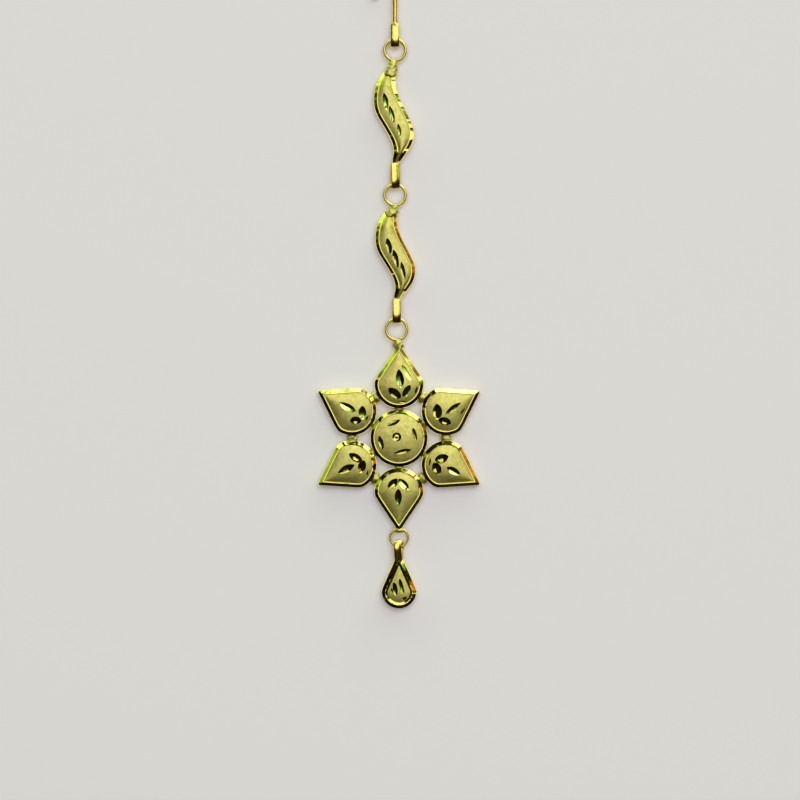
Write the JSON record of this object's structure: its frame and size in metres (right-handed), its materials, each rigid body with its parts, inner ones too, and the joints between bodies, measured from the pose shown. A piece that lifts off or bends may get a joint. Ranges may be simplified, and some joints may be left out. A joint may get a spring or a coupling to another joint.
{
  "type": "maang tikka",
  "caption": "Gold forehead jewel lying face up: hair hook, two wave-shaped links on jump rings, six-petal star pendant round a disc, and a small teardrop.",
  "frame": {"origin": "middle of the jewel's length and width, on the flat backs of the plates", "axes": "+Y along the jewel towards the hair hook, +X to its right seen from the front, +Z out of the front faces"},
  "size_m": [0.0202, 0.08, 0.0015],
  "materials": {
    "satin_gold": "satin yellow gold faces inside polished, diamond-cut rims",
    "polished_gold": "polished yellow gold wire and strip"
  },
  "bodies": {
    "root": {"hair_hook": "polished_gold", "upper_wave_link": "satin_gold", "lower_wave_link": "satin_gold", "star_pendant": "satin_gold", "drop": "satin_gold"}
  },
  "joints": []
}
